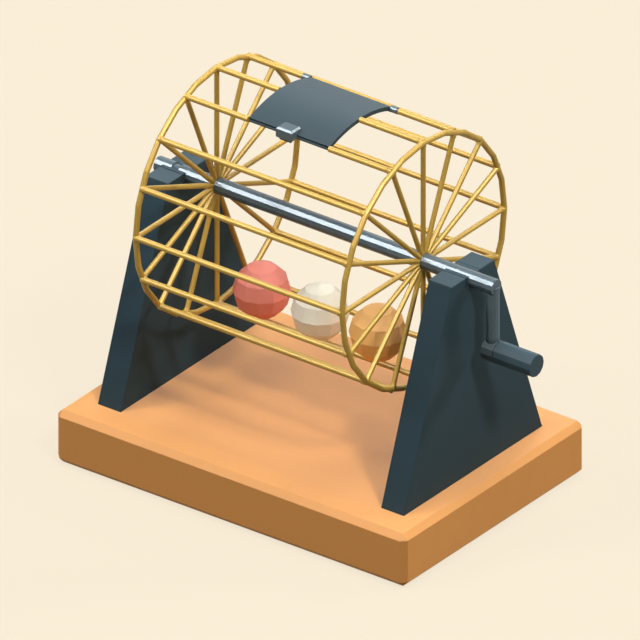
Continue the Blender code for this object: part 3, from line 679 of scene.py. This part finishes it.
# %% [markdown]
# A wire is brazed to the ring at its tip, and the braze leaves a small fillet. The tip is split a
# few times and each new row of corners is spread a little. Each row of `FILLET` is a distance from
# the ring's own wire, in millimetres, and the growth there. The ring has 24 flats, so its middle
# lies a little nearer to the shaft in the middle of a flat than at a bend.

# %% Fillets
DRUM_RADIUS = 85.6 * MM
SPOKES = 16
RING_SIDES = 24
FILLET = ((2.0, 1.0), (1.1, 1.06), (0.4, 1.16))
TIP_GROWTH = 1.2
low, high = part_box("end_ring_right")
ring_x = (low.x + high.x) / 2
ring_wire = high.x - low.x
turn_step = math.tau / SPOKES


def ring_reach(angle):
    """How far the ring's middle lies from the shaft, flat or bend, at this angle."""
    step = math.tau / RING_SIDES
    off_middle = angle % step - step / 2
    return DRUM_RADIUS * math.cos(step / 2) / math.cos(off_middle)


def widened(piece, level, growth):
    """Makes a standing wire thicker at one height."""
    pick(piece, "VERT", lambda corner: abs(corner.co.z - level) < TOUCHING)
    bpy.ops.transform.resize(value=(growth, growth, 1), center_override=(0, 0, level))


def filleted(piece, tip, way):
    """Widens a standing wire towards its tip, where it runs into the ring."""
    for reach, growth in FILLET:
        level = tip - way * (ring_wire / 2 + reach * MM)
        split(piece, (0, 0, level), (0, 0, 1))
        widened(piece, level, growth)
    widened(piece, tip, TIP_GROWTH)
    deselect()


print(f"{SPOKES} spokes, {math.degrees(turn_step)} degrees apart, {ring_x / MM:.1f} mm out")

# %% [markdown]
# The sixteen spokes meet the ring's 24 flats in turn at a bend and in the middle of a flat, so two
# patterns are enough. The spokes of one end are joined with the disc that they are brazed to. The
# collar inside it is a plain brass ring, pinned to the shaft.

# %% Spoke stars
SPOKE_RADIUS = 1.7 * MM
SPOKE_ROOT = 5.7 * MM
DISC_INNER = 7.9 * MM
DISC_OUTER = 9.6 * MM
DISC_WIDTH = 1.4 * MM
COLLAR_OUTER = 7.6 * MM
COLLAR_WIDTH = 2.2 * MM
METAL_EDGE = 0.2 * MM
WIRE_ROUND = math.radians(50)


def tube(name, inner, outer, x, length):
    """A short tube round the shaft."""
    body = lying_rod(name, outer, x - length / 2, x + length / 2)
    cut(body, lying_rod("bore", inner, x - length, x + length))
    ease_edges(body, METAL_EDGE)
    return body


def joined(pieces, name):
    """Makes one object of several."""
    deselect()
    for piece in pieces:
        piece.select_set(True)
    bpy.context.view_layer.objects.active = pieces[0]
    bpy.ops.object.join()
    whole = bpy.context.active_object
    whole.name = name
    return whole


def used_up(piece):
    """Takes away a pattern that has been copied to all its places."""
    bpy.data.objects.remove(piece, do_unlink=True)


patterns = []
for i in (0, 1):
    tip = ring_reach(i * turn_step)
    pattern = standing_rod("spoke_pattern", SPOKE_RADIUS, SPOKE_ROOT, tip)
    filleted(pattern, tip, 1)
    patterns.append(pattern)
pieces = [tube("disc", DISC_INNER, DISC_OUTER, -ring_x, DISC_WIDTH)]
for i in range(SPOKES):
    spoke = copy_of(patterns[i % 2], f"spoke_{i}")
    moved_to(spoke, (-ring_x, 0, axis_height), i * turn_step)
    pieces.append(spoke)
for pattern in patterns:
    used_up(pattern)
star = joined(pieces, "spokes")
bpy.ops.object.shade_smooth_by_angle(angle=WIRE_ROUND)
collar = tube("collar", bore_radius, COLLAR_OUTER, -ring_x, COLLAR_WIDTH)
stars = pair_of(star, "spokes_{}", 2 * ring_x)
collars = pair_of(collar, "collar_{}", 2 * ring_x)
for side in stars:
    settle(stars[side], brass, "cage", f"spoke_star_{side}")
    settle(collars[side], brass, "cage", f"hub_{side}")
dress(zinc, "hub_pin_left", "hub_pin_right")

# %% [markdown]
# ## The end rings
#
# Each ring is wire bent to 24 flats. A torus with 24 sections has those flats already. Its bends
# would be knife sharp, so the edge loops that go round the wire at each bend are bevelled.

# %% End rings
BEND_RADIUS = 0.9 * MM
ONE_PLACE = math.radians(1)


def goes_round_the_wire(edge):
    """Whether both ends of an edge lie in one plane through the shaft."""
    first, second = [math.atan2(corner.co.y, corner.co.z - axis_height) for corner in edge.verts]
    return abs(math.remainder(first - second, math.tau)) < ONE_PLACE


deselect()
bpy.ops.mesh.primitive_torus_add(
    major_segments=RING_SIDES,
    minor_segments=WIRE_SIDES,
    major_radius=DRUM_RADIUS,
    minor_radius=ring_wire / 2,
    location=(-ring_x, 0, axis_height),
    rotation=(0, math.pi / 2, 0),
)
ring = shaped("ring")
picked = pick(ring, "EDGE", goes_round_the_wire)
bpy.ops.mesh.bevel(offset=BEND_RADIUS, offset_type="OFFSET", segments=2, affect="EDGES")
choose(ring)
bpy.ops.object.shade_smooth_by_angle(angle=WIRE_ROUND)
print(f"{picked} edges bevelled in {RING_SIDES} bends")
rings = pair_of(ring, "ring_{}", 2 * ring_x)
for side in rings:
    settle(rings[side], brass, "cage", f"end_ring_{side}")

# %% [markdown]
# ## The bars
#
# Thirteen bars run the whole length of the drum. The other three meet the door and are cut into a
# left and a right stub. A bar is a standing wire with a fillet at each end that meets a ring, laid
# down along X. One bar is copied to all the places of its length.

# %% Bars
BAR_RADIUS = 2.0 * MM
CUT_BARS = (0, 1, 15)


def bar_between(start, end):
    """A wire along X on the world's centre, with fillets at the ends that meet a ring."""
    bar = standing_rod("bar_pattern", BAR_RADIUS, start, end)
    for tip, way in ((start, -1), (end, 1)):
        if abs(tip) == ring_x:
            filleted(bar, tip, way)
    choose(bar)
    bar.rotation_euler.y = math.pi / 2
    bpy.ops.object.transform_apply(location=True, rotation=True, scale=True)
    bpy.ops.object.shade_smooth_by_angle(angle=WIRE_ROUND)
    return bar


def bars_from(pattern, numbers, ending=""):
    """Copies a bar to each of its places round the shaft, and uses the pattern up."""
    for number in numbers:
        node = f"bar_{number:02d}{ending}"
        angle = number * turn_step
        across = DRUM_RADIUS * math.sin(angle)
        up = DRUM_RADIUS * math.cos(angle)
        bar = copy_of(pattern, f"{node}_wire")
        moved_to(bar, (0, -across, axis_height + up), angle)
        settle(bar, brass, "cage", node)
    used_up(pattern)


whole_bars = [number for number in range(SPOKES) if number not in CUT_BARS]
bars_from(bar_between(-ring_x, ring_x), whole_bars)
for number in CUT_BARS:
    left_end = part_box(f"bar_{number:02d}_left")[1].x
    bars_from(bar_between(-ring_x, left_end), [number], "_left")
    right_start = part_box(f"bar_{number:02d}_right")[0].x
    bars_from(bar_between(right_start, ring_x), [number], "_right")

# %% [markdown]
# ## The door and its hinge
#
# The door is a sheet curved round the shaft. An edge along X is spun about the shaft's axis into a
# curved surface, and Solidify gives it 1.3 mm. A rod is joined to its back edge and bored, as the
# roll round the hinge pin. The window frame under it, which the cut bars are brazed to, stays as
# it was built.

# %% Door plate
DOOR_THICKNESS = 1.3 * MM
DOOR_OUTER = 86.8 * MM
DOOR_FRONT = math.radians(22.0)
DOOR_STEPS = 24
HINGE_RADIUS = 85.0 * MM
PIN_RADIUS = 0.9 * MM
door_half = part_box("door_plate")[1].x
door_back = -turn_step


def polar(radius, angle):
    """A place round the shaft, with the angle counted from the top towards the front."""
    return -radius * math.sin(angle), axis_height + radius * math.cos(angle)


front_y, front_z = polar(DOOR_OUTER, DOOR_FRONT)
deselect()
bpy.ops.mesh.primitive_plane_add(size=2 * door_half, location=(0, front_y + door_half, front_z))
door = shaped("door")
pick(door, "VERT", lambda corner: corner.co.y > front_y + door_half)
bpy.ops.mesh.delete(type="VERT")
pick(door, "VERT")
bpy.ops.mesh.spin(
    steps=DOOR_STEPS, angle=DOOR_FRONT - door_back, center=(0, 0, axis_height), axis=(1, 0, 0)
)
facing_out(door)
angles = [math.atan2(-corner.co.y, corner.co.z - axis_height) for corner in door.data.vertices]
print(f"The door spans {math.degrees(min(angles)):.1f} to {math.degrees(max(angles)):.1f} degrees.")
apply(door, "SOLIDIFY", thickness=DOOR_THICKNESS, offset=-1)
hinge_y, hinge_z = polar(HINGE_RADIUS, door_back)
roll_radius = DOOR_OUTER - HINGE_RADIUS
cut(door, lying_rod("roll", roll_radius, -door_half, door_half, hinge_y, hinge_z), "UNION")
bore_end = door_half + OVERRUN / 2
cut(door, lying_rod("roll_bore", PIN_RADIUS + GAP, -bore_end, bore_end, hinge_y, hinge_z))
ease_edges(door, METAL_EDGE)
settle(door, sheet, "door", "door_plate")

# %% [markdown]
# The catch block sits on the door's front edge. It is a cube with chamfers round its top and its
# underside, and the upper ones show as two bright lines where they face the lamps. The curve of the
# drum is cut from its underside, so that it laps over the sheet: the space inside the sheet goes
# first, and then the part of the sheet's own curve that lies behind its front edge.

# %% Catch block
BLOCK_CHAMFER = 1.2 * MM
BLOCK_EDGE = 0.1 * MM
CURVE_SIDES = 192
SLAB = 20 * MM
low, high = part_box("catch_block")
catch = block("catch", (low + high) / 2, high - low)
pick(catch, "EDGE", lambda edge: abs(edge.verts[0].co.z - edge.verts[1].co.z) < TOUCHING)
bpy.ops.mesh.bevel(offset=BLOCK_CHAMFER, offset_type="OFFSET", segments=1, affect="EDGES")
ease_edges(catch, BLOCK_EDGE)
block_half = high.x + OVERRUN
inner = DOOR_OUTER - DOOR_THICKNESS
outer = DOOR_OUTER + GAP
cut(catch, lying_rod("inside", inner, -block_half, block_half, sides=CURVE_SIDES))
edge_y, edge_z = polar(outer, DOOR_FRONT)
lap = lying_rod("lap", outer, -block_half, block_half, sides=CURVE_SIDES)
behind_edge = (0, edge_y - GAP + SLAB / 2, edge_z)
cut(lap, block("behind", behind_edge, (4 * block_half, SLAB, SLAB)), "INTERSECT")
cut(catch, lap)
settle(catch, steel, "door", "catch_block")
dress(zinc, "catch_magnet", "catch_rivet_left", "catch_rivet_right", "hinge_pin")
dress(sheet, "door_frame")

# %% [markdown]
# At each end of the door a fixed knuckle carries the hinge pin. It lines up with the cut bar, and
# its bore lies a little below its middle, so that the door's roll is flush with its plate.

# %% Hinge knuckles
low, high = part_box("hinge_knuckle_left")
middle = (low + high) / 2
radius = (high.z - low.z) / 2
knuckle = lying_rod("knuckle", radius, low.x, high.x, middle.y, middle.z, SHAFT_SIDES)
ease_edges(knuckle, METAL_EDGE)
start, end = low.x - OVERRUN, high.x + OVERRUN
cut(knuckle, lying_rod("bore", PIN_RADIUS + GAP, start, end, hinge_y, hinge_z))
knuckle_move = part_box("hinge_knuckle_right")[0].x - low.x
knuckles = pair_of(knuckle, "knuckle_{}", knuckle_move)
for side in knuckles:
    settle(knuckles[side], steel, "cage", f"hinge_knuckle_{side}")

# %% [markdown]
# ## The crank
#
# The arm is a round bar with a boss at its foot, saddled under the shaft's end. Both are twelve
# sided, as the shaft is. The boss is as thick as the grip, so that the two run on in one line.

# %% Crank arm
ARM_SETBACK = 2.8 * MM
ARM_RADIUS = 4.35 * MM
ARM_EDGE = 0.25 * MM
low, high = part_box("crank_arm")
grip_low, grip_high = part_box("hand_grip")
pin_low, pin_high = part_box("crank_pin")
grip_radius = (grip_high.z - grip_low.z) / 2
grip_height = (grip_low.z + grip_high.z) / 2
arm_x = shaft_high.x - ARM_SETBACK
arm = standing_rod("arm", ARM_RADIUS, grip_height, axis_height, arm_x, SHAFT_SIDES)
cut(arm, lying_rod("boss", grip_radius, low.x, high.x, 0, grip_height, SHAFT_SIDES), "UNION")
start, end = arm_x - 2 * ARM_RADIUS, shaft_high.x + GAP
cut(arm, lying_rod("saddle", bore_radius, start, end, sides=SHAFT_SIDES))
ease_edges(arm, ARM_EDGE)
pin_bore = (pin_high.z - pin_low.z) / 2 + GAP
cut(arm, lying_rod("pin_bore", pin_bore, pin_low.x - GAP, high.x + OVERRUN, 0, grip_height))
settle(arm, enamel, "cage", "crank_arm")
dress(zinc, "crank_dowel", "crank_pin", "grip_clip")

# %% [markdown]
# The grip spins on a pin in that boss. It is moulded, so its edges are rounder than the metal's. A
# wider room in its bore holds the clip that keeps it on the pin.

# %% Hand grip
GRIP_EDGE = 0.4 * MM
low, high = grip_low, grip_high
grip = lying_rod("grip", grip_radius, low.x, high.x, 0, grip_height, SHAFT_SIDES)
ease_edges(grip, GRIP_EDGE)
cut(grip, lying_rod("grip_bore", pin_bore, low.x - OVERRUN, pin_high.x + GAP, 0, grip_height))
clip_low, clip_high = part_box("grip_clip")
clip_radius = (clip_high.z - clip_low.z) / 2 + GAP
start, end = clip_low.x - GAP, clip_high.x + GAP
cut(grip, lying_rod("clip_room", clip_radius, start, end, 0, grip_height))
settle(grip, plastic, "grip", "hand_grip")

# %% [markdown]
# ## The balls
#
# Each ball is turned with flats, twelve round and six high, like a sphere with few segments. Its
# edges are eased so that the flats meet as they would under paint. One pattern is copied to the
# three places.

# %% Balls
BALL_FLATS = 12
BALL_BANDS = 6
BALL_EDGE = 0.3 * MM
BLUNT = math.radians(5)
low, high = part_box("ball_red")
middle = (low + high) / 2
deselect()
bpy.ops.mesh.primitive_uv_sphere_add(
    segments=BALL_FLATS, ring_count=BALL_BANDS, radius=(high.z - low.z) / 2, location=middle
)
ball_pattern = shaped("ball_pattern")
ease_edges(ball_pattern, BALL_EDGE, BLUNT)
for name, finish in (("red", red_paint), ("ivory", ivory_paint), ("orange", orange_paint)):
    low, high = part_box(f"ball_{name}")
    ball = copy_of(ball_pattern, f"{name}_ball", (low + high) / 2 - middle)
    settle(ball, finish, f"{name}_ball", f"ball_{name}")
used_up(ball_pattern)

# %% [markdown]
# ## Floor, light and camera
#
# The floor is pale and plain. To the camera, and to anything that mirrors it, it mostly shows its
# own colour, with a share of the light that falls on it, so that the object keeps a faint shadow.
# Other rays meet a duller floor, which keeps the light that it throws back plain.

# %% Floor
BACKGROUND = linear("F9EDD7")
FLOOR_SIZE = 12.0
FLOOR_GLOW = 0.97
LIT_SHARE = 0.1


def seen(recipe):
    """1 for a ray that the camera sees, straight, mirrored or through glass, and 0 for others."""
    straight = recipe.node("ShaderNodeLightPath", output="Is Camera Ray")
    mirrored = recipe.node("ShaderNodeLightPath", output="Is Glossy Ray")
    through_glass = recipe.node("ShaderNodeLightPath", output="Is Transmission Ray")
    return straight.most(mirrored).most(through_glass)


deselect()
bpy.ops.mesh.primitive_plane_add(size=FLOOR_SIZE, location=(0, 0, 0))
floor = shaped("floor")
floor_material = bpy.data.materials.new("floor")
floor_material.use_nodes = True
floor_material.node_tree.nodes.clear()
floor.data.materials.append(floor_material)
ground = Recipe(floor_material.node_tree)
glow = ground.node("ShaderNodeEmission", None, {"Color": BACKGROUND, "Strength": FLOOR_GLOW})
lit = ground.node("ShaderNodeBsdfDiffuse", None, {"Color": BACKGROUND})
pale = ground.node("ShaderNodeMixShader", None, {"Fac": LIT_SHARE, 1: glow, 2: lit})
dull = ground.node("ShaderNodeBsdfDiffuse", None, {"Color": linear("66625A")})
surface = ground.node("ShaderNodeMixShader", None, {"Fac": seen(ground), 1: dull, 2: pale})
ground.ends_in("ShaderNodeOutputMaterial", surface)
print("the floor is", FLOOR_SIZE, "m wide")

# %% [markdown]
# The world does the same as the floor: the camera sees its pale backdrop in full, and its own light
# on the object is weak.

# %% World
SKY_LIGHT = 0.05
world = bpy.context.scene.world or bpy.data.worlds.new("world")
bpy.context.scene.world = world
world.use_nodes = True
world.node_tree.nodes.clear()
sky = Recipe(world.node_tree)
backdrop = sky.node("ShaderNodeBackground", None, {"Color": BACKGROUND})
room = sky.node("ShaderNodeBackground", None, {"Color": linear("F3F6FA"), "Strength": SKY_LIGHT})
around = sky.node("ShaderNodeMixShader", None, {"Fac": seen(sky), 1: room, 2: backdrop})
sky.ends_in("ShaderNodeOutputWorld", around)
print("the world is ready")

# %% [markdown]
# Distant lamps stand for a studio's softboxes. A sun lamp shines the same way everywhere, so a flat
# face mirrors it over its whole length. The overhead lamp and the key do most of the lighting, and
# two weaker ones fill the front and the back. The three gloss lamps are seen by glossy rays alone,
# as a photographer sets a white card to draw a highlight. They put the bright line on the shaft,
# the shine on the spokes and the sheen on the tops. Nothing shades them, so that each highlight
# runs on unbroken behind the wires.
#
# Each row of the table has the way to the lamp, its strength, its width in degrees and its colour.

# %% Lamps
LAMPS = {
    "key": ((0.60, -0.25, 0.76), 1.4, 8, "FFFAF2"),
    "front_card": ((-0.52, -0.49, 0.70), 1.2, 20, "FFFFFF"),
    "back_card": ((0.49, 0.70, 0.52), 0.9, 12, "FFFFFF"),
    "overhead": ((0.05, 0.05, 1.0), 1.8, 40, "FFFFFF"),
    "gloss_front": ((-0.52, -0.49, 0.70), 2.9, 20, "FFFFFF"),
    "gloss_back": ((-0.40, 0.72, 0.56), 1.9, 40, "F0F5FF"),
    "gloss_key": ((0.54, -0.20, 0.82), 7.0, 45, "FFFFFF"),
}
LAMP_DISTANCE = 2.0
for name, (towards, strength, width, code) in LAMPS.items():
    deselect()
    bpy.ops.object.light_add(type="SUN", location=Vector(towards) * LAMP_DISTANCE)
    lamp = bpy.context.active_object
    lamp.name = name
    lamp.rotation_euler = Vector(towards).to_track_quat("Z", "Y").to_euler()
    lamp.data.energy = strength
    lamp.data.angle = math.radians(width)
    lamp.data.color = linear(code)[:3]
    if name.startswith("gloss"):
        lamp.visible_diffuse = False
        lamp.data.use_shadow = False
print(len(LAMPS), "lamps")

# %% [markdown]
# The gloss lamp behind would also whiten the flat top of the catch. A photographer would hold a
# small black flag between the two. Light linking does the same: it takes the catch off that lamp's
# list.

# %% A flag for the catch
deselect()
catch.select_set(True)
bpy.context.view_layer.objects.active = bpy.data.objects["gloss_back"]
bpy.ops.object.light_linking_receivers_link(link_state="EXCLUDE")
print("gloss_back leaves out", catch.name)

# %% [markdown]
# The camera has no perspective. It looks from 36.87 degrees to the right and 29.25 degrees above.
# The middle of the picture lies 93.54 mm up the picture from the world's centre.

# %% Camera
PIXEL = 0.6333 * MM
PICTURE = 640
MIDDLE_UP = 93.54 * MM
CAMERA_DISTANCE = 1.5
turn = math.radians(36.87)
rise = math.radians(29.25)
ahead = Vector((-math.sin(turn), math.cos(turn), 0))
up = Vector((0, 0, 1))
upwards = ahead * math.sin(rise) + up * math.cos(rise)
backwards = up * math.sin(rise) - ahead * math.cos(rise)
place = upwards * MIDDLE_UP + backwards * CAMERA_DISTANCE
deselect()
bpy.ops.object.camera_add(location=place, rotation=(math.pi / 2 - rise, 0, turn))
camera = bpy.context.active_object
camera.name = "camera"
camera.data.type = "ORTHO"
camera.data.ortho_scale = PICTURE * PIXEL
camera.data.dof.use_dof = False
bpy.context.scene.camera = camera
bpy.context.scene.view_settings.view_transform = "Standard"
print("The picture is", round(PICTURE * PIXEL, 4), "m across.")
